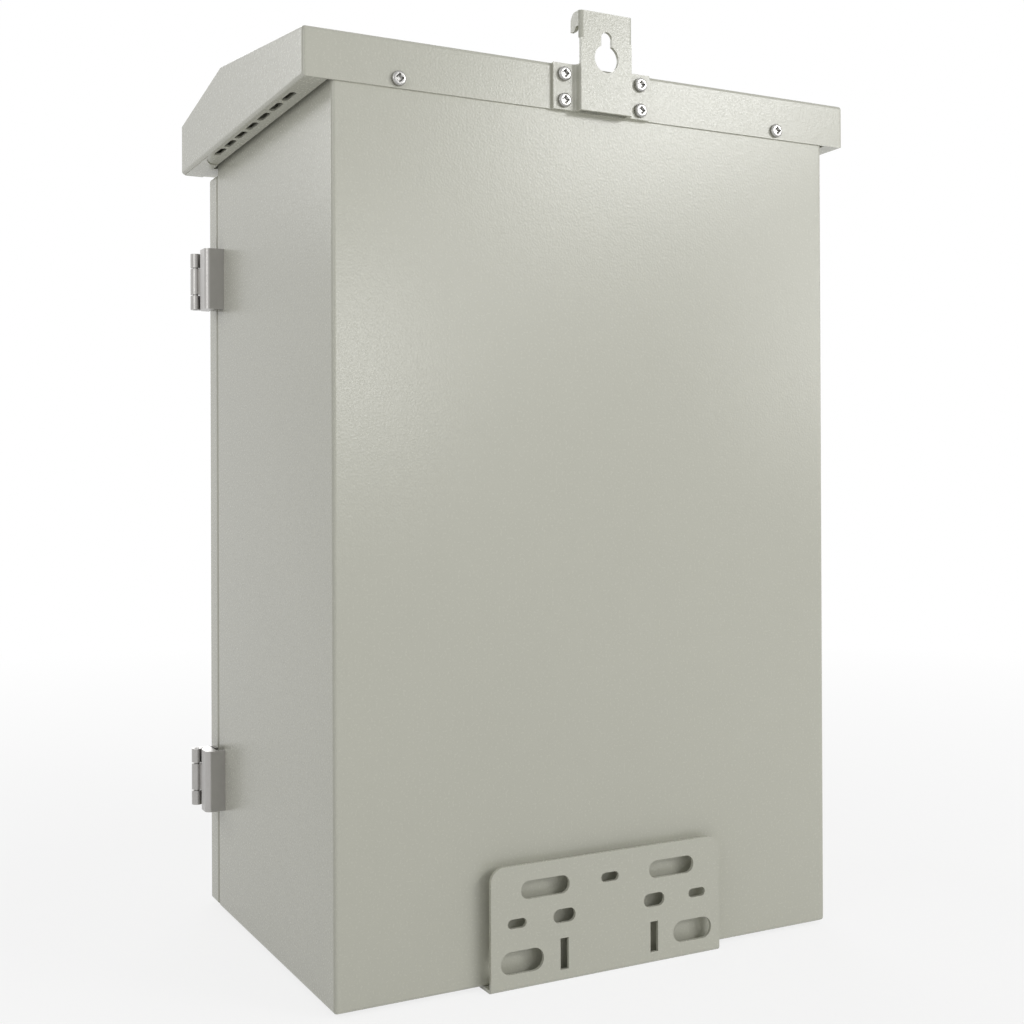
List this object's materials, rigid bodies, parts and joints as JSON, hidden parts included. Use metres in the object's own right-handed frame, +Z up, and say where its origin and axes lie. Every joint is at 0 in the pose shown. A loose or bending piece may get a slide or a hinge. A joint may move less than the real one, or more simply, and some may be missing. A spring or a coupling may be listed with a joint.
{
  "type": "roadside utility cabinet",
  "caption": "Pole-mounted sheet metal utility cabinet with a vented rain hood, hinged door with rod latch, keyhole hanger and slotted pole bracket.",
  "frame": {"origin": "under the middle of the whole cabinet, at the underside of the pole bracket's foot", "axes": "+Z up, -Y towards the door side, +X towards the hinge side, on the right for someone who faces the door"},
  "size_m": [0.44, 0.3204, 0.6683],
  "materials": {
    "paint": "pale grey-green powder coat with a fine orange peel texture",
    "stainless": "plain stainless steel",
    "zinc_plated": "bright zinc plating",
    "hinge_metal": "satin bare metal",
    "cast_chrome": "satin chrome on a casting",
    "rubber": "black sheet rubber",
    "foam": "dark grey foamed sealing strip",
    "grey_plastic": "grey moulded plastic",
    "black_plastic": "black moulded plastic"
  },
  "bodies": {
    "cabinet": {"cabinet_shell": "paint", "front_frame": "paint", "rain_hood": "paint", "hood_screws": "stainless", "hood_clinch_nuts": "zinc_plated", "hanger_plate": "paint", "hanger_screws": "stainless", "hanger_clinch_nuts": "zinc_plated", "pole_bracket": "paint", "pole_bracket_screws": "stainless", "pole_bracket_nuts": "zinc_plated", "mounting_plate": "zinc_plated", "mounting_studs": "zinc_plated", "mounting_spacers": "zinc_plated", "mounting_nuts": "zinc_plated", "gland_plate": "paint", "gland_gasket": "rubber", "gland_studs": "zinc_plated", "gland_nuts": "zinc_plated", "blanking_plugs": "grey_plastic", "vent_screen_left": "stainless", "vent_screen_right": "stainless", "vent_screen_rivets": "stainless", "earth_stud": "zinc_plated", "earth_nuts": "zinc_plated", "hinge_lower_body_leaf": "hinge_metal", "hinge_upper_body_leaf": "hinge_metal", "hinge_lower_pin": "hinge_metal", "hinge_upper_pin": "hinge_metal", "hinge_body_screws": "stainless"},
    "door": {"door": "paint", "door_gasket": "foam", "hinge_lower_door_leaf": "hinge_metal", "hinge_upper_door_leaf": "hinge_metal", "hinge_door_screws": "stainless", "latch_sleeve": "cast_chrome", "latch_gasket": "rubber", "latch_nut": "zinc_plated", "rod_guides": "black_plastic", "rod_guide_studs": "zinc_plated", "rod_guide_nuts": "zinc_plated", "door_earth_stud": "zinc_plated", "door_earth_nuts": "zinc_plated"},
    "handle": {"latch_handle": "cast_chrome", "latch_cam": "zinc_plated", "latch_cam_screw": "zinc_plated"},
    "lock": {"lock_barrel": "cast_chrome"},
    "rod_upper": {"lock_rod_upper": "zinc_plated"},
    "rod_lower": {"lock_rod_lower": "zinc_plated"}
  },
  "joints": [
    {"name": "door_hinge", "type": "hinge", "parent": "cabinet", "child": "door", "pos_m": [0.2153, -0.11775, 0.30375], "axis": [0, 0, 1], "range_deg": [0, 130]},
    {"name": "handle_turn", "type": "hinge", "parent": "door", "child": "handle", "pos_m": [-0.138, -0.13175, 0.29525], "axis": [0, 1, 0], "range_deg": [0, 90]},
    {"name": "key_turn", "type": "hinge", "parent": "handle", "child": "lock", "pos_m": [-0.138, -0.15175, 0.29525], "axis": [0, 1, 0], "range_deg": [0, 90]},
    {"name": "upper_rod_slide", "type": "slide", "parent": "door", "child": "rod_upper", "axis": [0, 0, 1], "range_m": [0, 0.02547]},
    {"name": "lower_rod_slide", "type": "slide", "parent": "door", "child": "rod_lower", "axis": [0, 0, -1], "range_m": [0, 0.02547]}
  ],
  "couplings": [
    {"joint": "upper_rod_slide", "follows": "handle_turn", "m_per_rad": 0.0162},
    {"joint": "lower_rod_slide", "follows": "handle_turn", "m_per_rad": 0.0162}
  ]
}
